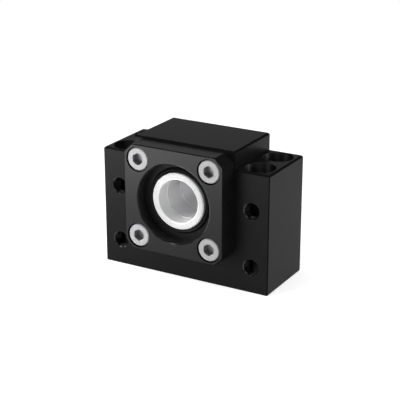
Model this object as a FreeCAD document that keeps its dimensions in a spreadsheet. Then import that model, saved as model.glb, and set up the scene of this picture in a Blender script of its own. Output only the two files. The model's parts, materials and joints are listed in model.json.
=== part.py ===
import FreeCAD, Part
import Sketcher
import os

# Fixed-side end support for a ball screw with a 25 mm journal, in millimetres.
# The origin is the middle of the base face, straight under the screw axis.
# +Z is up, the screw axis runs along Y, and the retaining plate faces -Y.

doc = FreeCAD.newDocument("end_support")
sheet = doc.addObject("Spreadsheet::Sheet", "Sizes")

# Driving dimensions; everything else is worked out from them
SIZES = {
    # Housing block
    "axis_height": 48,  # height of the screw axis above the base
    "hump_rise": 32,  # height of the hump's top above the screw axis
    "shoulder_rise": 22,  # height of the two shoulders above the screw axis
    "hump_margin": 0.75,  # width of the hump beyond each side of the plate
    "shoulder_width": 21,  # width of each shoulder beside the hump
    "rear_step": 3.3,  # thickness of the housing's step behind the bearings
    "top_chamfer": 1,  # chamfer round the tops of the hump and shoulders
    "edge_break": 0.5,  # chamfer of the upright and lower edges
    "clamp_hole": 11,  # diameter of the downward bolt holes
    "clamp_seat": 17.5,  # diameter of the seats for their bolt heads
    "clamp_seat_depth": 11,  # depth of those seats below the shoulder
    "clamp_margin": 10,  # distance of the downward holes from the front and rear faces
    "face_hole": 9,  # diameter of the front-to-back bolt holes
    "face_pitch_up": 33,  # distance of the lower of these holes under the upper
    "mouth_chamfer": 0.5,  # chamfer at the mouths of holes and bores

    # Retaining plate and its screws
    "plate_thickness": 12,  # thickness of the retaining plate
    "plate_corner": 5,  # chamfer of the plate's four corners
    "plate_side_margin": 8.75,  # distance from a screw to the plate's side edge
    "plate_top_margin": 8.5,  # distance from a screw to the plate's top or bottom edge
    "spigot_fit": 0.1,  # radial clearance of the plate's spigot in the housing bore
    "thread_wall": 1.76,  # metal between the bearing bore and a tapped hole
    "screw_dia": 8,  # diameter of the screw shank
    "screw_length": 20,  # length of the screw below its head
    "head_dia": 13,  # diameter of the screw head
    "head_height": 8,  # height of the screw head
    "head_chamfer": 0.5,  # chamfer of the screw head and the screw tip
    "head_gap": 0.7,  # radial clearance of the head in its seat
    "head_sunk": 0.25,  # depth of the head's face below the plate's face
    "socket_across": 6,  # width of the hexagon socket across its flats
    "socket_depth": 4,  # depth of the hexagon socket
    "socket_lead": 0.35,  # depth of the lead-in cone round the socket
    "screw_clearance": 0.5,  # radial clearance of the shank in the plate
    "thread_fit": 0.05,  # radial clearance of the shank in its tapped hole
    "tapped_spare": 4,  # depth of the tapped hole past the screw tip

    # Collars and seals
    "journal_dia": 25,  # bore that takes the screw's journal
    "front_reach": 6.6,  # length of the front collar in front of the block
    "rear_reach": 9,  # length of the rear collar behind the block
    "collar_chamfer": 0.6,  # chamfer of the collars' edges
    "seal_drop": 3,  # radial drop from the bearings' outside to the outside of the seals
    "seal_width": 5,  # width of the seal body along the axis
    "seal_fit": 0.02,  # radial clearance modelled round the seals
    "seal_reach": 4,  # distance of the front seal's face in front of the block
    "seal_backing": 1,  # radial height of the step that backs each seal
    "seal_wall": 1.8,  # thickness of the seal's outer leg and of its web
    "crest_offset": 1.9,  # radial distance of the dust lip's crest from the collar
    "crest_height": 1.2,  # height of the dust lip's crest above the seal face
    "dust_lip_height": 0.3,  # height of the dust lip's edge above the seal face
    "lip_clearance": 0.05,  # running clearance of the lips on the collar
    "lip_thickness": 0.9,  # radial thickness of the seal behind its lips
    "lip_depth": 3.4,  # distance of the main lip's edge behind the seal face
    "spring_seat": 2.25,  # radial distance of the garter spring's seat from the lip's edge
    "spring_wire": 1.2,  # section diameter of the garter spring

    # Bearings
    "bearing_dia": 52,  # outside diameter of the bearings
    "bearing_width": 15,  # width of one bearing
    "bearing_inset": 2.5,  # distance of the bearing pair behind the block's front face
    "bearing_fit": 0.01,  # radial clearance of the outer rings in the housing
    "ring_corner": 0.8,  # corner chamfer of the rings
    "ball_dia": 7.94,  # diameter of a ball
    "race_clearance": 0.05,  # clearance between a ball and its two grooves
    "high_shoulder": 2.07,  # height of each ring's high shoulder above its groove
    "low_shoulder": 1.02,  # height of the inner ring's low shoulder above its groove
    "relief_shoulder": 0.67,  # height of the outer ring's relieved shoulder above its groove
    "cage_clearance": 0.4,  # radial clearance between the cage and the high shoulders
    "cage_rim": 1.4,  # width of the cage beside its windows
    "cage_bar": 0.85,  # least metal between two windows of the cage
    "pocket_clearance": 0.12,  # clearance of a ball in its cage window
}
for row, (alias, number) in enumerate(SIZES.items(), start=1):
    sheet.set("A%d" % row, alias)
    sheet.set("B%d" % row, str(number))
    sheet.setAlias("B%d" % row, alias)
doc.recompute()

# Places along the screw axis
BLOCK_DEPTH = (
    "(Sizes.bearing_inset + 2 * Sizes.bearing_width + Sizes.rear_step"
    " + Sizes.seal_width + Sizes.crest_height)"
)
FRONT_FACE = "-%s / 2" % BLOCK_DEPTH
REAR_FACE = "%s / 2" % BLOCK_DEPTH
PAIR_START = "(%s + Sizes.bearing_inset)" % FRONT_FACE
PAIR_END = "(%s + 2 * Sizes.bearing_width)" % PAIR_START
REAR_SEAL_FACE = "(%s - Sizes.crest_height)" % REAR_FACE
BALL_PLANE = "Sizes.bearing_width / 2"

# Radii about the screw axis
JOURNAL_RADIUS = "Sizes.journal_dia / 2"
SEAL_RADIUS = "(Sizes.bearing_dia / 2 - Sizes.seal_drop)"
SEAL_SEAT_RADIUS = "(%s + Sizes.seal_fit)" % SEAL_RADIUS
STEP_RADIUS = "(%s - Sizes.seal_backing)" % SEAL_RADIUS
BORE_RADIUS = "(Sizes.bearing_dia / 2 + Sizes.bearing_fit)"
PITCH_RADIUS = "((Sizes.journal_dia + Sizes.bearing_dia) / 4)"
RACE_DIA = "(Sizes.ball_dia + 2 * Sizes.race_clearance)"
INNER_GROOVE = "(%s - %s / 2)" % (PITCH_RADIUS, RACE_DIA)
OUTER_GROOVE = "(%s + %s / 2)" % (PITCH_RADIUS, RACE_DIA)
COLLAR_RADIUS = "(%s + Sizes.low_shoulder)" % INNER_GROOVE
CAGE_INSIDE = "(%s + Sizes.high_shoulder + Sizes.cage_clearance)" % INNER_GROOVE
CAGE_OUTSIDE = "(%s - Sizes.high_shoulder - Sizes.cage_clearance)" % OUTER_GROOVE

# The cage holds as many balls as its bars leave room for
WINDOW_DIA = "(Sizes.ball_dia + 2 * Sizes.pocket_clearance)"
BALL_COUNT = "floor(2 * pi * %s / (%s + Sizes.cage_bar))" % (CAGE_INSIDE, WINDOW_DIA)

# Plate, screws and the block's outline
TAPPED_DIA = "(Sizes.screw_dia + 2 * Sizes.thread_fit)"
SCREW_OFFSET = "((%s + Sizes.thread_wall + %s / 2) / sqrt(2))" % (BORE_RADIUS, TAPPED_DIA)
HEAD_SEAT_DEPTH = "(Sizes.head_height + Sizes.head_sunk)"
PLATE_SIDE = "(%s + Sizes.plate_side_margin)" % SCREW_OFFSET
PLATE_TOP = "(%s + Sizes.plate_top_margin)" % SCREW_OFFSET
HUMP_SIDE = "(%s + Sizes.hump_margin)" % PLATE_SIDE
HUMP_TOP = "(Sizes.axis_height + Sizes.hump_rise)"
SHOULDER_TOP = "(Sizes.axis_height + Sizes.shoulder_rise)"
BLOCK_SIDE = "(%s + Sizes.shoulder_width)" % HUMP_SIDE
BOLT_ACROSS = "(%s + Sizes.shoulder_width / 2)" % HUMP_SIDE
CLAMP_ALONG = "(%s - Sizes.clamp_margin)" % REAR_FACE

# Cuts that leave the solid run on past its faces by this much
OVERCUT = BALL_PLANE

nodes = []


def value(expression):
    """The number that an expression of the sheet's sizes gives now."""
    found = sheet.evalExpression(expression)
    return float(getattr(found, "Value", found))


def new_body(name):
    body = doc.addObject("PartDesign::Body", name)
    body.Label = name
    return body


def place(item, along, up="Sizes.axis_height", across="0", turned=False):
    """Put an object at (across, along, up); turned faces it to the back."""
    if turned:
        item.Placement = FreeCAD.Placement(
            FreeCAD.Vector(0, 0, 0), FreeCAD.Rotation(FreeCAD.Vector(0, 0, 1), 180)
        )
    item.setExpression("Placement.Base.x", across)
    item.setExpression("Placement.Base.y", along)
    item.setExpression("Placement.Base.z", up)


def origin_item(body, role):
    """The origin plane or axis of a body that has the given role."""
    for feature in body.Origin.OriginFeatures:
        if feature.Role == role:
            return feature
    raise ValueError("no origin feature with role " + role)


def new_sketch(body, name, role, lift="0"):
    """A sketch on one of the body's origin planes, lifted along the plane's normal."""
    sketch = body.newObject("Sketcher::SketchObject", name)
    sketch.AttachmentSupport = [(origin_item(body, role), "")]
    sketch.MapMode = "FlatFace"
    sketch.setExpression("AttachmentOffset.Base.z", lift)
    return sketch


def hold_point(sketch, shape, point, across, along):
    """Tie a point of the sketch to the sheet by its two coordinates."""
    for kind, expression, axis in (("DistanceX", across, -2), ("DistanceY", along, -1)):
        if expression == "0":
            sketch.addConstraint(Sketcher.Constraint("PointOnObject", shape, point, axis))
            continue
        number = sketch.addConstraint(
            Sketcher.Constraint(kind, -1, 1, shape, point, value(expression))
        )
        sketch.setExpression("Constraints[%d]" % number, expression)


def outline(sketch, corners):
    """Draw a closed outline of straight lines through corners given as expressions."""
    places = [FreeCAD.Vector(value(across), value(along), 0) for across, along in corners]
    first = sketch.GeometryCount
    total = len(corners)
    for i in range(total):
        sketch.addGeometry(Part.LineSegment(places[i], places[(i + 1) % total]))
    for i in range(total):
        following = first + (i + 1) % total
        sketch.addConstraint(Sketcher.Constraint("Coincident", first + i, 2, following, 1))
    for i, (across, along) in enumerate(corners):
        hold_point(sketch, first + i, 1, across, along)


def circle(sketch, across, along, diameter):
    """Draw a circle whose centre and diameter are expressions."""
    centre = FreeCAD.Vector(value(across), value(along), 0)
    shape = sketch.addGeometry(
        Part.Circle(centre, FreeCAD.Vector(0, 0, 1), value(diameter) / 2)
    )
    hold_point(sketch, shape, 3, across, along)
    number = sketch.addConstraint(
        Sketcher.Constraint("Diameter", shape, value(diameter))
    )
    sketch.setExpression("Constraints[%d]" % number, diameter)


def pad(body, sketch, length, both_ways=False, backwards=False):
    feature = body.newObject("PartDesign::Pad", sketch.Name + "_pad")
    feature.Profile = sketch
    feature.setExpression("Length", length)
    feature.Midplane = both_ways
    feature.Reversed = backwards
    doc.recompute()
    return feature


def pocket(body, sketch, depth=None, both_ways=False, backwards=False):
    """Cut a sketch out of the body: through everything, or to a depth."""
    before = body.Shape.Volume
    feature = body.newObject("PartDesign::Pocket", sketch.Name + "_pocket")
    feature.Profile = sketch
    if depth is None:
        feature.Type = "ThroughAll"
    else:
        feature.setExpression("Length", depth)
    feature.Midplane = both_ways
    feature.Reversed = backwards
    doc.recompute()
    must_shrink(body, before, feature)
    return feature


def revolve(body, sketch):
    """Turn a profile about the Y axis of its sketch."""
    feature = body.newObject("PartDesign::Revolution", sketch.Name + "_turned")
    feature.Profile = sketch
    feature.ReferenceAxis = (sketch, ["V_Axis"])
    feature.Angle = 360
    doc.recompute()
    return feature


def groove(body, sketch):
    """Turn a profile about the Y axis of its sketch and cut it out."""
    before = body.Shape.Volume
    feature = body.newObject("PartDesign::Groove", sketch.Name + "_cut")
    feature.Profile = sketch
    feature.ReferenceAxis = (sketch, ["V_Axis"])
    feature.Angle = 360
    doc.recompute()
    must_shrink(body, before, feature)
    return feature


def hole(body, sketch, diameter, seat_diameter, seat_depth):
    """Drill the sketch's circles right through, each with a flat seat at its mouth."""
    doc.recompute()
    before = body.Shape.Volume
    feature = body.newObject("PartDesign::Hole", sketch.Name + "_hole")
    feature.Profile = sketch
    doc.recompute()
    feature.Threaded = False
    feature.DepthType = "ThroughAll"
    feature.setExpression("Diameter", diameter)
    feature.HoleCutType = "Counterbore"
    feature.HoleCutCustomValues = True
    feature.setExpression("HoleCutDiameter", seat_diameter)
    feature.setExpression("HoleCutDepth", seat_depth)
    doc.recompute()
    must_shrink(body, before, feature)
    return feature


def chamfer(body, width, chosen):
    """Chamfer the edges of the body that a test chooses."""
    base = body.Tip
    names = []
    for number, edge in enumerate(base.Shape.Edges, start=1):
        if chosen(edge):
            names.append("Edge%d" % number)
    feature = body.newObject("PartDesign::Chamfer", base.Name + "_chamfer")
    feature.Base = (base, names)
    feature.setExpression("Size", width)
    doc.recompute()
    return feature


def must_shrink(body, before, feature):
    """A cut that points away from the solid removes nothing, so it is refused."""
    if not body.Shape.Volume < before - 1e-6:
        raise RuntimeError(feature.Name + " cut nothing")


def near(one, other):
    return abs(one - other) < 1e-4


def four_corners(half_across, half_up):
    """The four points at plus and minus each half distance."""
    corners = []
    for side in ("", "-"):
        for level in ("", "-"):
            corners.append((side + half_across, level + half_up))
    return corners


def lies_level(edge, height):
    box = edge.BoundBox
    return near(box.ZMin, height) and near(box.ZMax, height)


def housing():
    """The block: a hump between two shoulders, bored through for the bearings."""
    body = new_body("housing")

    front = new_sketch(body, "block_outline", "XZ_Plane")
    outline(front, [
        (BLOCK_SIDE, "0"),
        (BLOCK_SIDE, SHOULDER_TOP),
        (HUMP_SIDE, SHOULDER_TOP),
        (HUMP_SIDE, HUMP_TOP),
        ("-" + HUMP_SIDE, HUMP_TOP),
        ("-" + HUMP_SIDE, SHOULDER_TOP),
        ("-" + BLOCK_SIDE, SHOULDER_TOP),
        ("-" + BLOCK_SIDE, "0"),
    ])
    pad(body, front, BLOCK_DEPTH, both_ways=True)

    hump_top = value(HUMP_TOP)
    shoulder_top = value(SHOULDER_TOP)
    hump_side = value(HUMP_SIDE)
    block_side = value(BLOCK_SIDE)

    def top_edge(edge):
        if lies_level(edge, hump_top):
            return True
        inner_corner = near(edge.BoundBox.XLength, 0) and near(
            abs(edge.BoundBox.XMin), hump_side
        )
        return lies_level(edge, shoulder_top) and not inner_corner

    chamfer(body, "Sizes.top_chamfer", top_edge)

    def other_edge(edge):
        box = edge.BoundBox
        upright = near(box.XLength, 0) and near(box.YLength, 0)
        at_side = near(abs(box.XMin), block_side) or near(abs(box.XMin), hump_side)
        return lies_level(edge, 0) or (upright and at_side)

    chamfer(body, "Sizes.edge_break", other_edge)

    bore = new_sketch(body, "bearing_bore", "XY_Plane", "Sizes.axis_height")
    outline(bore, [
        ("0", FRONT_FACE + " - " + OVERCUT),
        (BORE_RADIUS, FRONT_FACE + " - " + OVERCUT),
        (BORE_RADIUS, PAIR_END),
        (STEP_RADIUS, PAIR_END),
        (STEP_RADIUS, REAR_SEAL_FACE + " - Sizes.seal_width"),
        (SEAL_SEAT_RADIUS, REAR_SEAL_FACE + " - Sizes.seal_width"),
        (SEAL_SEAT_RADIUS, REAR_FACE + " + " + OVERCUT),
        ("0", REAR_FACE + " + " + OVERCUT),
    ])
    groove(body, bore)

    downward = new_sketch(body, "clamp_holes", "XY_Plane", SHOULDER_TOP)
    for across, along in four_corners(BOLT_ACROSS, CLAMP_ALONG):
        circle(downward, across, along, "Sizes.clamp_hole")
    hole(body, downward, "Sizes.clamp_hole", "Sizes.clamp_seat", "Sizes.clamp_seat_depth")

    across_holes = new_sketch(body, "face_holes", "XZ_Plane")
    for side in ("", "-"):
        for height in ("Sizes.axis_height", "Sizes.axis_height - Sizes.face_pitch_up"):
            circle(across_holes, side + BOLT_ACROSS, height, "Sizes.face_hole")
    pocket(body, across_holes, both_ways=True)

    tapped = new_sketch(body, "tapped_holes", "XZ_Plane", REAR_FACE)
    depth = "Sizes.screw_length - Sizes.plate_thickness + %s + Sizes.tapped_spare"
    for across, up in four_corners(SCREW_OFFSET, SCREW_OFFSET):
        circle(tapped, across, "Sizes.axis_height + " + up, TAPPED_DIA)
    pocket(body, tapped, depth % HEAD_SEAT_DEPTH)

    bolt_hole = value("Sizes.face_hole / 2")
    seal_seat = value(SEAL_SEAT_RADIUS)
    face = value(REAR_FACE)

    def mouth(edge):
        """The rims of the front-to-back holes on both faces, and the rear bore's rim."""
        if not isinstance(edge.Curve, Part.Circle):
            return False
        on_face = near(edge.BoundBox.YLength, 0) and near(abs(edge.BoundBox.YMin), face)
        radius = edge.Curve.Radius
        return on_face and (near(radius, bolt_hole) or near(radius, seal_seat))

    chamfer(body, "Sizes.mouth_chamfer", mouth)
    place(body, "0", up="0")
    nodes.append(body)


def retaining_plate():
    """The square plate whose spigot holds the outer rings in the housing."""
    body = new_body("retaining_plate")
    short_side = "(%s - Sizes.plate_corner)" % PLATE_SIDE
    short_top = "(%s - Sizes.plate_corner)" % PLATE_TOP

    square = new_sketch(body, "plate_outline", "XZ_Plane")
    outline(square, [
        (short_side, "-" + PLATE_TOP),
        (PLATE_SIDE, "-" + short_top),
        (PLATE_SIDE, short_top),
        (short_side, PLATE_TOP),
        ("-" + short_side, PLATE_TOP),
        ("-" + PLATE_SIDE, short_top),
        ("-" + PLATE_SIDE, "-" + short_top),
        ("-" + short_side, "-" + PLATE_TOP),
    ])
    pad(body, square, "Sizes.plate_thickness")

    outer_face = value("-Sizes.plate_thickness")

    def front_edge(edge):
        return near(edge.BoundBox.YMax, outer_face)

    chamfer(body, "Sizes.edge_break", front_edge)

    round_end = new_sketch(body, "spigot", "XZ_Plane")
    circle(round_end, "0", "0", "2 * (%s - Sizes.spigot_fit)" % BORE_RADIUS)
    pad(body, round_end, "Sizes.bearing_inset", backwards=True)

    bore = new_sketch(body, "plate_bore", "XY_Plane")
    outline(bore, [
        ("0", "-Sizes.plate_thickness"),
        (SEAL_SEAT_RADIUS + " + Sizes.mouth_chamfer", "-Sizes.plate_thickness"),
        (SEAL_SEAT_RADIUS, "-Sizes.plate_thickness + Sizes.mouth_chamfer"),
        (SEAL_SEAT_RADIUS, "Sizes.seal_width - Sizes.seal_reach"),
        (STEP_RADIUS, "Sizes.seal_width - Sizes.seal_reach"),
        (STEP_RADIUS, "Sizes.bearing_inset + " + OVERCUT),
        ("0", "Sizes.bearing_inset + " + OVERCUT),
    ])
    groove(body, bore)

    seats = new_sketch(body, "screw_holes", "XZ_Plane", "Sizes.plate_thickness")
    passage = "Sizes.screw_dia + 2 * Sizes.screw_clearance"
    for across, up in four_corners(SCREW_OFFSET, SCREW_OFFSET):
        circle(seats, across, up, passage)
    hole(body, seats, passage, "Sizes.head_dia + 2 * Sizes.head_gap", HEAD_SEAT_DEPTH)

    place(body, FRONT_FACE)
    nodes.append(body)


def socket_screw(name):
    """A socket head cap screw: head towards -Y, underside of the head at the origin."""
    body = new_body(name)
    side = new_sketch(body, name + "_side", "XY_Plane")
    outline(side, [
        ("0", "-Sizes.head_height"),
        ("Sizes.head_dia / 2 - Sizes.head_chamfer", "-Sizes.head_height"),
        ("Sizes.head_dia / 2", "-Sizes.head_height + Sizes.head_chamfer"),
        ("Sizes.head_dia / 2", "0"),
        ("Sizes.screw_dia / 2", "0"),
        ("Sizes.screw_dia / 2", "Sizes.screw_length - Sizes.head_chamfer"),
        ("Sizes.screw_dia / 2 - Sizes.head_chamfer", "Sizes.screw_length"),
        ("0", "Sizes.screw_length"),
    ])
    revolve(body, side)

    flat = "Sizes.socket_across / 2"
    corner = "Sizes.socket_across / sqrt(3)"
    half_side = "Sizes.socket_across / sqrt(12)"
    hexagon = new_sketch(body, name + "_hexagon", "XZ_Plane", "Sizes.head_height")
    outline(hexagon, [
        ("0", corner),
        ("-" + flat, half_side),
        ("-" + flat, "-" + half_side),
        ("0", "-" + corner),
        (flat, "-" + half_side),
        (flat, half_side),
    ])
    pocket(body, hexagon, "Sizes.socket_depth")

    lead = new_sketch(body, name + "_lead", "XY_Plane")
    outline(lead, [
        ("0", "-Sizes.head_height"),
        (corner, "-Sizes.head_height"),
        (corner + " - 2 * Sizes.socket_lead", "-Sizes.head_height + Sizes.socket_lead"),
        ("0", "-Sizes.head_height + Sizes.socket_lead"),
    ])
    groove(body, lead)
    return body


def plate_screws():
    """The four equal screws that hold the retaining plate."""
    group = []
    corners = four_corners(SCREW_OFFSET, SCREW_OFFSET)
    for number, (across, up) in enumerate(corners, start=1):
        screw = socket_screw("plate_screw_%d" % number)
        underside = "%s - Sizes.plate_thickness + %s" % (FRONT_FACE, HEAD_SEAT_DEPTH)
        place(screw, underside, up="Sizes.axis_height + " + up, across=across)
        group.append(screw)
    together = doc.addObject("Part::Compound", "plate_screws")
    together.Label = "plate_screws"
    together.Links = group
    nodes.append(together)


def collar(name, start, end, outer_end_first):
    """A spacer collar between the journal's shoulder or nut and the inner ring."""
    body = new_body(name)
    length = "((%s) - (%s))" % (end, start)
    bevel = "Sizes.collar_chamfer"
    side = new_sketch(body, name + "_side", "XY_Plane")
    outline(side, [
        (JOURNAL_RADIUS + " + " + bevel, "0"),
        (COLLAR_RADIUS + " - " + bevel, "0"),
        (COLLAR_RADIUS, bevel),
        (COLLAR_RADIUS, length + " - " + bevel),
        (COLLAR_RADIUS + " - " + bevel, length),
        (JOURNAL_RADIUS + " + " + bevel, length),
        (JOURNAL_RADIUS, length + " - " + bevel),
        (JOURNAL_RADIUS, bevel),
    ])
    revolve(body, side)
    place(body, start if outer_end_first else end, turned=not outer_end_first)
    nodes.append(body)


def shaft_seal(end_name, face, turned):
    """A rubber seal with a dust lip and a sprung main lip; its face is at y = 0."""
    body = new_body(end_name + "_seal")
    crest = "(%s + Sizes.crest_offset)" % COLLAR_RADIUS
    contact = "(%s + Sizes.lip_clearance)" % COLLAR_RADIUS
    behind = "(%s + Sizes.lip_thickness)" % contact
    spring_seat = "(%s + Sizes.spring_seat)" % contact
    leg_inside = "(%s - Sizes.seal_wall)" % SEAL_RADIUS
    lip_end = "Sizes.lip_depth + Sizes.lip_thickness"

    section = new_sketch(body, end_name + "_seal_section", "XY_Plane")
    outline(section, [
        (SEAL_RADIUS, "0"),
        (crest + " + Sizes.crest_height", "0"),
        (crest, "-Sizes.crest_height"),
        (contact, "-Sizes.dust_lip_height"),
        (behind, "Sizes.lip_thickness"),
        (behind, "Sizes.lip_depth - Sizes.lip_thickness"),
        (contact, "Sizes.lip_depth"),
        (behind, lip_end),
        (spring_seat, lip_end),
        (spring_seat, "Sizes.seal_wall"),
        (leg_inside, "Sizes.seal_wall"),
        (leg_inside, "Sizes.seal_width"),
        (SEAL_RADIUS, "Sizes.seal_width"),
    ])
    revolve(body, section)
    place(body, face, turned=turned)
    nodes.append(body)

    spring = new_body(end_name + "_seal_spring")
    wire = new_sketch(spring, end_name + "_spring_wire", "XY_Plane")
    circle(wire, spring_seat + " + Sizes.spring_wire / 2", "Sizes.lip_depth",
           "Sizes.spring_wire")
    revolve(spring, wire)
    place(spring, face, turned=turned)
    nodes.append(spring)


def bearing(end_name, outer_side, turned):
    """One angular contact bearing; y runs from its outer side towards the other bearing."""
    corner = "Sizes.ring_corner"
    width = "Sizes.bearing_width"
    inner_high = INNER_GROOVE + " + Sizes.high_shoulder"
    outer_low = OUTER_GROOVE + " - Sizes.relief_shoulder"
    outer_high = OUTER_GROOVE + " - Sizes.high_shoulder"
    outside = "Sizes.bearing_dia / 2"

    inner = new_body(end_name + "_inner_ring")
    section = new_sketch(inner, end_name + "_inner_section", "XY_Plane")
    outline(section, [
        (JOURNAL_RADIUS + " + " + corner, "0"),
        (COLLAR_RADIUS, "0"),
        (COLLAR_RADIUS, BALL_PLANE),
        (inner_high, BALL_PLANE),
        (inner_high, width),
        (JOURNAL_RADIUS + " + " + corner, width),
        (JOURNAL_RADIUS, width + " - " + corner),
        (JOURNAL_RADIUS, corner),
    ])
    revolve(inner, section)
    race_cut = new_sketch(inner, end_name + "_inner_race", "XY_Plane")
    circle(race_cut, PITCH_RADIUS, BALL_PLANE, RACE_DIA)
    groove(inner, race_cut)

    outer = new_body(end_name + "_outer_ring")
    section = new_sketch(outer, end_name + "_outer_section", "XY_Plane")
    outline(section, [
        (outer_high, "0"),
        (outside + " - " + corner, "0"),
        (outside, corner),
        (outside, width + " - " + corner),
        (outside + " - " + corner, width),
        (outer_low, width),
        (outer_low, BALL_PLANE),
        (outer_high, BALL_PLANE),
    ])
    revolve(outer, section)
    race_cut = new_sketch(outer, end_name + "_outer_race", "XY_Plane")
    circle(race_cut, PITCH_RADIUS, BALL_PLANE, RACE_DIA)
    groove(outer, race_cut)

    cage = new_body(end_name + "_cage")
    half_cage = "(%s / 2 + Sizes.cage_rim)" % WINDOW_DIA
    near_side = BALL_PLANE + " - " + half_cage
    far_side = BALL_PLANE + " + " + half_cage
    section = new_sketch(cage, end_name + "_cage_section", "XY_Plane")
    outline(section, [
        (CAGE_INSIDE, near_side),
        (CAGE_OUTSIDE, near_side),
        (CAGE_OUTSIDE, far_side),
        (CAGE_INSIDE, far_side),
    ])
    revolve(cage, section)
    window = new_sketch(cage, end_name + "_cage_window", "YZ_Plane")
    circle(window, BALL_PLANE, "0", WINDOW_DIA)
    first_window = pocket(cage, window, backwards=True)
    windows = cage.newObject("PartDesign::PolarPattern", end_name + "_cage_windows")
    windows.Originals = [first_window]
    windows.Axis = (origin_item(cage, "Y_Axis"), [""])
    windows.Angle = 360
    windows.setExpression("Occurrences", BALL_COUNT)
    cage.Tip = windows
    doc.recompute()

    for piece in (inner, outer, cage):
        place(piece, outer_side, turned=turned)
        nodes.append(piece)

    direction = "-" if turned else "+"
    side = "-" if turned else ""
    for number in range(int(value(BALL_COUNT))):
        ball = doc.addObject("Part::Sphere", "%s_ball_%02d" % (end_name, number + 1))
        ball.setExpression("Radius", "Sizes.ball_dia / 2")
        angle = "(360 deg * %d / %s)" % (number, BALL_COUNT)
        place(
            ball,
            "%s %s %s" % (outer_side, direction, BALL_PLANE),
            up="Sizes.axis_height + %s * sin%s" % (PITCH_RADIUS, angle),
            across="%s%s * cos%s" % (side, PITCH_RADIUS, angle),
        )
        nodes.append(ball)


def check_document():
    """Stop on any failed object or any sub-part without a sound shape."""
    for item in doc.Objects:
        if "Invalid" in item.State or "Error" in item.State:
            raise RuntimeError("%s is %s" % (item.Name, item.State))
    for node in nodes:
        if node.Shape.isNull() or not node.Shape.isValid() or not node.Shape.Solids:
            raise RuntimeError("%s has no valid solid" % node.Label)


housing()
retaining_plate()
plate_screws()
collar("front_collar", "%s - Sizes.front_reach" % FRONT_FACE, PAIR_START, True)
collar("rear_collar", PAIR_END, "%s + Sizes.rear_reach" % REAR_FACE, False)
shaft_seal("front", "%s - Sizes.seal_reach" % FRONT_FACE, False)
shaft_seal("rear", REAR_SEAL_FACE, True)
bearing("front", PAIR_START, False)
bearing("rear", PAIR_END, True)
doc.recompute()
check_document()

os.makedirs("parts", exist_ok=True)
for node in nodes:
    node.Shape.exportStep("parts/%s.step" % node.Label)
    print(node.Label, len(node.Shape.Solids), "solids", round(node.Shape.Volume, 1), "mm3")
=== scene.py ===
import json
import math
from collections import namedtuple

import bpy
from mathutils import Matrix, Vector

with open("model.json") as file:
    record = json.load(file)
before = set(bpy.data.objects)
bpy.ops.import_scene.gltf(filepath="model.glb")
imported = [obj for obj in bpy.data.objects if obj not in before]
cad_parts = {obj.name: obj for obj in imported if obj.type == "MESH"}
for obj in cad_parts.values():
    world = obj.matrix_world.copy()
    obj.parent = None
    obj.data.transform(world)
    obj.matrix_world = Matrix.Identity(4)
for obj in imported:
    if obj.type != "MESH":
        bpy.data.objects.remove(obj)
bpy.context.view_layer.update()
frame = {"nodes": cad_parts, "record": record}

# Camera solved from the photograph: place in metres, sensor in millimetres, focal length in pixels
CAMERA_PLACE = Vector((0.32018, -0.56121, 0.27578))
CAMERA_AZIMUTH = math.radians(29.829)
CAMERA_ELEVATION = math.radians(20.022)
CAMERA_ROLL = math.radians(-0.0228)
SENSOR = 36.0
FOCAL_PIXELS = 1200.5
PHOTO_PIXELS = 400

# Directions in the object's frame
ACROSS = (1.0, 0.0, 0.0)
ALONG_SCREW = (0.0, 1.0, 0.0)
UP = (0.0, 0.0, 1.0)

# Places in the object's frame in millimetres, worked out from the frame's mounts where it has them
MM_PER_METRE = 1000.0
MOUNTS = {mount["name"]: mount for mount in frame["record"]["mounts"]}
CLAMP_PATTERN = MOUNTS["clamp_holes"]["dims"]
FACE_PATTERN = MOUNTS["face_holes"]["dims"]
BASE_MIDDLE = (0.0, 0.0, 0.0)
SCREW_AXIS = (0.0, 0.0, MM_PER_METRE * MOUNTS["journal_bore"]["pos_m"][2])
FACE_HOLES_MIDDLE = (0.0, 0.0, MM_PER_METRE * MOUNTS["face_holes"]["pos_m"][2])
ALONE = (0.0, 0.0, 0.0)
CLAMP_HALF_SPACING = (CLAMP_PATTERN["spacing_x_mm"] / 2, CLAMP_PATTERN["spacing_y_mm"] / 2, 0.0)
FACE_HALF_SPACING = (FACE_PATTERN["spacing_x_mm"] / 2, 0.0, FACE_PATTERN["spacing_y_mm"] / 2)
SCREW_HALF_SPACING = (22.5, 0.0, 22.5)
HEAD_FACE = 32.75  # distance of the screw heads' faces in front of the origin
HEAD_SKIN = 0.04  # depth below which a head's surface belongs to its socket
SOCKET_REACH = 3.6  # radius that takes in a socket with its lead-in

# How squarely a surface faces an axis, from 0 along it to 1 square to it
SQUARE_FACE = 0.95
END_FACE = 0.9
CHAMFER_FACING = 0.65
CHAMFER_SPAN = 0.3

# Black oxide: the stretch of highlights in turned holes, and the shares of roughness and gloss
# that burnished mouths and worn edges lose
TURNED_STRETCH = 0.92
MOUTH_POLISH = 0.5
EDGE_DULLNESS = 1.0

# Steel: the share of the colour left in the darkest turning rings, and how far the roughness varies
RING_SHADE = 0.9
RING_SPREAD = 0.05

# Plated screws: the share of the colour left in the sockets as painted shade for their depth, and
# the loss of roughness in them
SOCKET_PAINTED_SHADE = 0.62
SOCKET_POLISH = 0.4

WHITE = (1.0, 1.0, 1.0)

# Studio: the wall's light fades as the upward part of a direction grows from one value to the
# other; sizes and places are in metres
WALL_FADE = (0.12, 0.35)
WALL_STRENGTH = 1.0
CEILING_STRENGTH = 0.02
FLOOR_SIZE = 0.9
FLOOR_DROP = 0.0001
FLOOR_GREY = 0.8
FLOOR_GLOW = 0.64
BODY_MIDDLE = (0.0, 0.0, 0.045)

# Like holes: the direction, middle and half spacing of their axes, the radius that takes in their
# chamfers, and the gloss of their walls and of the burnished chamfers at their mouths
Holes = namedtuple("Holes", "axis middle half_spacing reach wall_gloss mouth_gloss")

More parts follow.
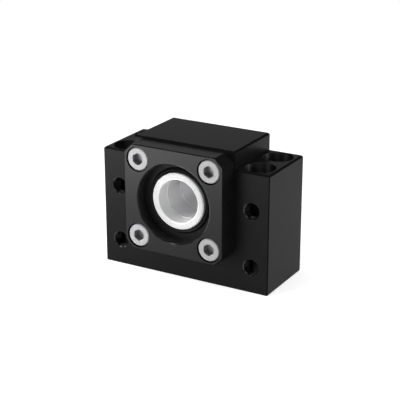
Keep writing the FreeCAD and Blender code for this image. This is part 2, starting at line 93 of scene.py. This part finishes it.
BLOCK_BORE = Holes(
    ALONG_SCREW, SCREW_AXIS, ALONE, reach=23.6, wall_gloss=0.2, mouth_gloss=0.2,
)
PLATE_BORE = BLOCK_BORE._replace(wall_gloss=0.32, mouth_gloss=0.25)
CLAMP_HOLES = Holes(
    UP, BASE_MIDDLE, CLAMP_HALF_SPACING, reach=9.0, wall_gloss=0.75, mouth_gloss=0.2,
)
FACE_HOLES = Holes(
    ALONG_SCREW, FACE_HOLES_MIDDLE, FACE_HALF_SPACING,
    reach=5.05, wall_gloss=0.22, mouth_gloss=0.45,
)


def new_material(name):
    """A node material; returns it with its node tree and its Principled shader."""
    material = bpy.data.materials.new(name)
    material.use_nodes = True
    tree = material.node_tree
    return material, tree, tree.nodes["Principled BSDF"]


def add(tree, kind, **values):
    """Add a node, set its properties and its unlinked inputs by name."""
    node = tree.nodes.new(kind)
    for key, value in values.items():
        if hasattr(node, key):
            setattr(node, key, value)
        else:
            node.inputs[key.replace("_", " ")].default_value = value
    return node


def plug(tree, place, value):
    """Give an input a socket or a plain value."""
    if isinstance(value, bpy.types.NodeSocket):
        tree.links.new(value, place)
    else:
        place.default_value = value


def feed(tree, node, values):
    """Give a node its inputs in order, each a socket or a plain value."""
    for place, value in enumerate(values):
        plug(tree, node.inputs[place], value)


def calc(tree, operation, *values):
    """A number worked out from numbers."""
    node = add(tree, "ShaderNodeMath", operation=operation)
    feed(tree, node, values)
    return node.outputs[0]


def vector(tree, operation, *values):
    """A vector, a length or a dot product worked out from vectors."""
    node = add(tree, "ShaderNodeVectorMath", operation=operation)
    feed(tree, node, values)
    return node.outputs["Value" if operation in ("LENGTH", "DOT_PRODUCT") else "Vector"]


def millimetres(tree, stretch=(1.0, 1.0, 1.0)):
    """The surface point in the object's frame, in millimetres and then stretched."""
    place = add(tree, "ShaderNodeTexCoord").outputs["Object"]
    return vector(tree, "MULTIPLY", place, [MM_PER_METRE * share for share in stretch])


def true_normal(tree):
    """The direction in which the surface faces, without its bumps."""
    return add(tree, "ShaderNodeNewGeometry").outputs["True Normal"]


def separate(tree, point):
    """The three parts of a vector."""
    node = add(tree, "ShaderNodeSeparateXYZ")
    tree.links.new(point, node.inputs[0])
    return node.outputs


def noise(tree, point, per_mm, detail=3.0, roughness=0.5):
    """Noise with a given number of cells per millimetre."""
    node = add(tree, "ShaderNodeTexNoise", Scale=per_mm, Detail=detail, Roughness=roughness)
    tree.links.new(point, node.inputs["Vector"])
    return node.outputs["Fac"]


def spread(tree, factor, low, high):
    """Map a factor from 0..1 onto low..high."""
    node = add(tree, "ShaderNodeMapRange")
    node.inputs["To Min"].default_value = low
    node.inputs["To Max"].default_value = high
    tree.links.new(factor, node.inputs["Value"])
    return node.outputs["Result"]


def changed(tree, level, zone, change):
    """A level changed by a given amount where the zone is 1."""
    return calc(tree, "ADD", level, calc(tree, "MULTIPLY", zone, change))


def choose(tree, factor, first, second):
    """The first vector where the factor is 0, the second where it is 1."""
    kept = vector(tree, "SCALE", first)
    taken = vector(tree, "SCALE", second)
    tree.links.new(calc(tree, "SUBTRACT", 1.0, factor), kept.node.inputs["Scale"])
    tree.links.new(factor, taken.node.inputs["Scale"])
    return vector(tree, "ADD", kept, taken)


def two_tone(tree, factor, first, second):
    """A colour between two by a factor."""
    node = add(tree, "ShaderNodeMix", data_type="RGBA")
    node.inputs["A"].default_value = (*first, 1.0)
    node.inputs["B"].default_value = (*second, 1.0)
    tree.links.new(factor, node.inputs["Factor"])
    return node.outputs["Result"]


def bump(tree, shader, height, depth_mm, under=None):
    """Raise the surface by a height factor; depth is the height of a full step."""
    node = add(tree, "ShaderNodeBump")
    node.inputs["Distance"].default_value = depth_mm / MM_PER_METRE
    tree.links.new(height, node.inputs["Height"])
    if under is not None:
        tree.links.new(under, node.inputs["Normal"])
    tree.links.new(node.outputs["Normal"], shader.inputs["Normal"])
    return node.outputs["Normal"]


def from_axes(tree, point, axis, middle, half_spacing):
    """Millimetres from the nearest of one, two or four like axes, square to them."""
    across = [1.0 - part for part in axis]
    moved = vector(tree, "SUBTRACT", point, middle)
    nearest = vector(tree, "MULTIPLY", vector(tree, "SIGN", moved), half_spacing)
    return vector(tree, "MULTIPLY", vector(tree, "SUBTRACT", moved, nearest), across)


def within(tree, radial, radius):
    """1 up to a radius from an axis, else 0."""
    return calc(tree, "LESS_THAN", vector(tree, "LENGTH", radial), radius)


def round_axis(tree, axis, radial):
    """The direction of turning marks round an axis."""
    return vector(tree, "CROSS_PRODUCT", axis, radial)


def marks_along(tree, shader, grooves, amount):
    """Stretch the highlights square to the tool marks, whose direction is given."""
    turned = add(tree, "ShaderNodeVectorTransform", vector_type="VECTOR")
    turned.convert_from = "OBJECT"
    turned.convert_to = "WORLD"
    tree.links.new(grooves, turned.inputs[0])
    surface = add(tree, "ShaderNodeNewGeometry")
    square = vector(tree, "CROSS_PRODUCT", surface.outputs["Normal"], turned.outputs[0])
    tree.links.new(square, shader.inputs["Tangent"])
    plug(tree, shader.inputs["Anisotropic"], amount)


def flatness(tree):
    """1 on faces square to the frame, less on chamfers and round walls."""
    sides = separate(tree, vector(tree, "ABSOLUTE", true_normal(tree)))
    larger = calc(tree, "MAXIMUM", sides[0], sides[1])
    return calc(tree, "MAXIMUM", larger, sides[2])


def hole_zones(tree, point, holes):
    """Inside, wall and mouth of like holes, each 1 or 0, and the direction of their marks."""
    radial = from_axes(tree, point, holes.axis, holes.middle, holes.half_spacing)
    inside = within(tree, radial, holes.reach)
    facing = calc(tree, "ABSOLUTE", vector(tree, "DOT_PRODUCT", true_normal(tree), holes.axis))
    sloped = calc(tree, "COMPARE", facing, CHAMFER_FACING, CHAMFER_SPAN)
    mouth = calc(tree, "MULTIPLY", inside, sloped)
    wall = calc(tree, "SUBTRACT", inside, mouth)
    return inside, wall, mouth, round_axis(tree, holes.axis, radial)


def black_oxide(name, dark, light, gloss, smooth, rough, hole_sets):
    """Milled steel with a satin black oxide, duller on its edges, with its turned holes."""
    material, tree, shader = new_material(name)
    shader.inputs["IOR"].default_value = 1.5
    point = millimetres(tree)
    clouds = noise(tree, point, per_mm=0.06, detail=4.0)
    marks = noise(tree, millimetres(tree, (0.15, 0.15, 4.0)), per_mm=1.0, detail=2.0)
    specks = noise(tree, point, per_mm=2.5, detail=2.0)
    tree.links.new(two_tone(tree, clouds, dark, light), shader.inputs["Base Color"])

    edge = calc(tree, "LESS_THAN", flatness(tree), SQUARE_FACE)
    grooves = ACROSS
    level = gloss
    burnished = 0.0
    turned = 0.0
    for holes in hole_sets:
        inside, wall, mouth, hole_grooves = hole_zones(tree, point, holes)
        edge = calc(tree, "MULTIPLY", edge, calc(tree, "SUBTRACT", 1.0, inside))
        grooves = choose(tree, wall, grooves, hole_grooves)
        level = changed(tree, level, wall, holes.wall_gloss - gloss)
        level = changed(tree, level, mouth, holes.mouth_gloss - gloss)
        burnished = calc(tree, "MAXIMUM", burnished, mouth)
        turned = calc(tree, "MAXIMUM", turned, wall)
    marks_along(tree, shader, grooves, calc(tree, "MULTIPLY", turned, TURNED_STRETCH))

    level = changed(tree, level, edge, -EDGE_DULLNESS * gloss)
    tree.links.new(level, shader.inputs["Specular IOR Level"])
    polish = changed(tree, 1.0, burnished, -MOUTH_POLISH)
    finish = calc(tree, "MULTIPLY", spread(tree, marks, smooth, rough), polish)
    tree.links.new(finish, shader.inputs["Roughness"])
    milled = bump(tree, shader, marks, depth_mm=0.0008)
    bump(tree, shader, specks, depth_mm=0.0006, under=milled)
    return material


def axis_distance(tree):
    """Distance from the screw axis in millimetres, as a point for one-way noise."""
    radial = from_axes(tree, millimetres(tree), ALONG_SCREW, SCREW_AXIS, ALONE)
    along = add(tree, "ShaderNodeCombineXYZ")
    tree.links.new(vector(tree, "LENGTH", radial), along.inputs["X"])
    return along.outputs[0]


def bright_steel(name, colour, rough, marks_depth, stretch=0.8, face=None, metal=1.0):
    """Turned and ground steel; face is the roughness of its end faces and their colour, darker than
    the rest as painted shade.
    """
    material, tree, shader = new_material(name)
    shader.inputs["Metallic"].default_value = metal
    rings = noise(tree, axis_distance(tree), per_mm=9.0, roughness=0.7)
    along = noise(tree, millimetres(tree, ALONG_SCREW), per_mm=6.0, roughness=0.7)
    finish = spread(tree, rings, rough - RING_SPREAD, rough + RING_SPREAD)
    shade = two_tone(tree, rings, [RING_SHADE * part for part in colour], colour)
    if face is not None:
        face_shaded_colour, face_rough = face
        sides = separate(tree, vector(tree, "ABSOLUTE", true_normal(tree)))
        faced = calc(tree, "GREATER_THAN", sides[1], END_FACE)
        finish = changed(tree, finish, faced, face_rough - rough)
        # Painted shade: the end faces are given a darker colour than the sides.
        share = [new / old for new, old in zip(face_shaded_colour, colour)]
        painted_shade_tint = two_tone(tree, faced, WHITE, share)
        shade = vector(tree, "MULTIPLY", shade, painted_shade_tint)
    tree.links.new(shade, shader.inputs["Base Color"])
    tree.links.new(finish, shader.inputs["Roughness"])
    if stretch:
        radial = from_axes(tree, millimetres(tree), ALONG_SCREW, SCREW_AXIS, ALONE)
        marks_along(tree, shader, round_axis(tree, ALONG_SCREW, radial), stretch)
    bump(tree, shader, calc(tree, "ADD", rings, along), marks_depth)
    return material


def plated_screw(name):
    """Zinc plated forged steel, light grey and slightly grained, with painted shade darkening its
    sockets.
    """
    material, tree, shader = new_material(name)
    shader.inputs["Metallic"].default_value = 0.4
    point = millimetres(tree)
    grain = noise(tree, point, per_mm=3.5, detail=4.0, roughness=0.65)
    clouds = noise(tree, point, per_mm=0.5)
    radial = from_axes(tree, point, ALONG_SCREW, SCREW_AXIS, SCREW_HALF_SPACING)
    depth = calc(tree, "ABSOLUTE", calc(tree, "ADD", separate(tree, point)[1], HEAD_FACE))
    sunk = calc(tree, "GREATER_THAN", depth, HEAD_SKIN)
    socket = calc(tree, "MULTIPLY", within(tree, radial, SOCKET_REACH), sunk)
    plain = two_tone(tree, clouds, (0.3, 0.3, 0.305), (0.37, 0.37, 0.375))
    # Painted shade: the sockets' colour is darkened to stand in for the shade in them.
    painted_shade_tint = two_tone(tree, socket, WHITE, [SOCKET_PAINTED_SHADE * part for part in WHITE])
    tree.links.new(vector(tree, "MULTIPLY", plain, painted_shade_tint), shader.inputs["Base Color"])
    finish = changed(tree, spread(tree, grain, 0.62, 0.8), socket, -SOCKET_POLISH)
    tree.links.new(finish, shader.inputs["Roughness"])
    bump(tree, shader, grain, depth_mm=0.02)
    return material


def rubber(name):
    """Matt black seal rubber with a moulded grain and a little bloom."""
    material, tree, shader = new_material(name)
    shader.inputs["Specular IOR Level"].default_value = 0.1
    grain = noise(tree, millimetres(tree), per_mm=4.0)
    bloom = noise(tree, millimetres(tree), per_mm=0.3)
    shade = two_tone(tree, bloom, (0.003, 0.003, 0.0033), (0.006, 0.006, 0.006))
    tree.links.new(shade, shader.inputs["Base Color"])
    tree.links.new(spread(tree, grain, 0.42, 0.58), shader.inputs["Roughness"])
    bump(tree, shader, grain, depth_mm=0.01)
    return material


def moulded_cage(name):
    """Natural glass-filled polyamide."""
    material, tree, shader = new_material(name)
    fibres = noise(tree, millimetres(tree, (1.0, 4.0, 1.0)), per_mm=1.2, detail=4.0)
    shade = two_tone(tree, fibres, (0.36, 0.28, 0.16), (0.5, 0.41, 0.27))
    tree.links.new(shade, shader.inputs["Base Color"])
    tree.links.new(spread(tree, fibres, 0.4, 0.55), shader.inputs["Roughness"])
    bump(tree, shader, fibres, depth_mm=0.01)
    return material


def make_finishes():
    """The material of each slot."""
    return {
        "block_oxide": black_oxide(
            "block_oxide_finish", dark=(0.006, 0.006, 0.0061), light=(0.009, 0.009, 0.0091),
            gloss=0.06, smooth=0.345, rough=0.375,
            hole_sets=(CLAMP_HOLES, BLOCK_BORE, FACE_HOLES),
        ),
        "plate_oxide": black_oxide(
            "plate_oxide_finish", dark=(0.008, 0.008, 0.0081), light=(0.011, 0.011, 0.0111),
            gloss=0.155, smooth=0.262, rough=0.278, hole_sets=(PLATE_BORE,),
        ),
        "plated_screw": plated_screw("plated_screw_finish"),
        "ground_steel": bright_steel(
            "collar_finish", (0.9, 0.9, 0.9), rough=0.55, marks_depth=0.003,
            # The collar's end faces get a darker colour as painted shade, and a roughness of their
            # own.
            face=((0.56, 0.56, 0.56), 0.56), metal=0.35,
        ),
        "bearing_steel": bright_steel(
            "bearing_ring_finish", (0.8, 0.8, 0.81), rough=0.5, marks_depth=0.002, metal=0.6,
        ),
        "ball_steel": bright_steel(
            "ball_finish", (0.82, 0.82, 0.84), rough=0.12, marks_depth=0.0005, stretch=0.0,
        ),
        "spring_steel": bright_steel(
            "spring_finish", (0.55, 0.55, 0.56), rough=0.3, marks_depth=0.004, stretch=0.0,
        ),
        "seal_rubber": rubber("seal_rubber_finish"),
        "cage_polymer": moulded_cage("cage_finish"),
    }


def dress(node_name, material):
    """Give a CAD node its material."""
    piece = frame["nodes"][node_name]
    piece.data.materials.clear()
    piece.data.materials.append(material)


def dress_all():
    """Give every CAD node the material of its slot."""
    finishes = make_finishes()
    for row in frame["record"]["subparts"]:
        dress(row["node"], finishes[row["material_slot"]])


def looking_ray(tree):
    """1 for camera, glossy and transmission rays, and 0 for the light that falls on things."""
    path = add(tree, "ShaderNodeLightPath").outputs
    seen = calc(tree, "MAXIMUM", path["Is Camera Ray"], path["Is Glossy Ray"])
    return calc(tree, "MAXIMUM", seen, path["Is Transmission Ray"])


def make_floor():
    """A plain white floor that shows white to the camera and keeps a faint shadow."""
    bpy.ops.mesh.primitive_plane_add(size=FLOOR_SIZE, location=(0.0, 0.0, -FLOOR_DROP))
    floor = bpy.context.object
    floor.name = "floor"
    material = bpy.data.materials.new("floor_white")
    material.use_nodes = True
    tree = material.node_tree
    tree.nodes.clear()
    diffuse = add(tree, "ShaderNodeBsdfDiffuse")
    diffuse.inputs["Color"].default_value = (FLOOR_GREY, FLOOR_GREY, FLOOR_GREY, 1.0)
    glow = add(tree, "ShaderNodeEmission")
    shine = calc(tree, "MULTIPLY", looking_ray(tree), FLOOR_GLOW)
    tree.links.new(shine, glow.inputs["Strength"])
    total = add(tree, "ShaderNodeAddShader")
    out = add(tree, "ShaderNodeOutputMaterial")
    tree.links.new(diffuse.outputs[0], total.inputs[0])
    tree.links.new(glow.outputs[0], total.inputs[1])
    tree.links.new(total.outputs[0], out.inputs["Surface"])
    floor.data.materials.append(material)


def make_world():
    """A white studio wall all round, fading to a dim ceiling."""
    world = bpy.data.worlds.new("studio")
    bpy.context.scene.world = world
    world.use_nodes = True
    tree = world.node_tree
    tree.nodes.clear()
    place = add(tree, "ShaderNodeTexCoord").outputs["Generated"]
    wall = add(tree, "ShaderNodeMapRange", interpolation_type="SMOOTHSTEP")
    wall.inputs["From Min"].default_value = WALL_FADE[0]
    wall.inputs["From Max"].default_value = WALL_FADE[1]
    wall.inputs["To Min"].default_value = WALL_STRENGTH
    wall.inputs["To Max"].default_value = CEILING_STRENGTH
    tree.links.new(separate(tree, place)[2], wall.inputs["Value"])
    glow = add(tree, "ShaderNodeBackground")
    glow.inputs["Color"].default_value = (*WHITE, 1.0)
    tree.links.new(wall.outputs["Result"], glow.inputs["Strength"])
    out = add(tree, "ShaderNodeOutputWorld")
    tree.links.new(glow.outputs[0], out.inputs["Surface"])


def soft_light(name, place, aim, width, height, watts):
    """A soft rectangular lamp at a place, turned to a point."""
    lamp = bpy.data.lights.new(name, "AREA")
    lamp.shape = "RECTANGLE"
    lamp.size = width
    lamp.size_y = height
    lamp.energy = watts
    holder = bpy.data.objects.new(name, lamp)
    holder.location = place
    holder.rotation_mode = "QUATERNION"
    holder.rotation_quaternion = (Vector(aim) - Vector(place)).to_track_quat("-Z", "Y")
    holder.visible_camera = False
    bpy.context.scene.collection.objects.link(holder)


def make_lights():
    """A low strip at the left front, three soft boxes round the object and one above."""
    soft_light("key_light", (-0.135, -0.135, 0.046), aim=(0.0, -0.02, 0.05),
               width=0.36, height=0.083, watts=0.5)
    soft_light("left_light", (-0.5, -0.64, 0.8), aim=BODY_MIDDLE,
               width=0.4, height=0.4, watts=3.6)
    soft_light("fill_light", (0.5, -0.6, 0.7), aim=BODY_MIDDLE,
               width=0.4, height=0.4, watts=0.6)
    soft_light("rim_light", (0.75, 0.45, 0.35), aim=BODY_MIDDLE,
               width=0.4, height=0.4, watts=2.2)
    soft_light("top_light", (0.0, 0.1, 1.5), aim=(0.0, 0.0, 0.0),
               width=1.2, height=1.2, watts=8.5)


def make_camera():
    """The photograph's camera, with its frame of 400 by 400 pixels."""
    lens = bpy.data.cameras.new("photo_camera")
    lens.sensor_width = SENSOR
    lens.lens = FOCAL_PIXELS / PHOTO_PIXELS * SENSOR
    camera = bpy.data.objects.new("photo_camera", lens)
    turn = Matrix.Rotation(CAMERA_AZIMUTH, 4, "Z")
    tilt = Matrix.Rotation(math.pi / 2 - CAMERA_ELEVATION, 4, "X")
    roll = Matrix.Rotation(CAMERA_ROLL, 4, "Z")
    camera.matrix_world = Matrix.Translation(CAMERA_PLACE) @ turn @ tilt @ roll
    bpy.context.scene.collection.objects.link(camera)
    bpy.context.scene.camera = camera


dress_all()
make_floor()
make_world()
make_lights()
make_camera()
bpy.context.scene.view_settings.view_transform = "Standard"
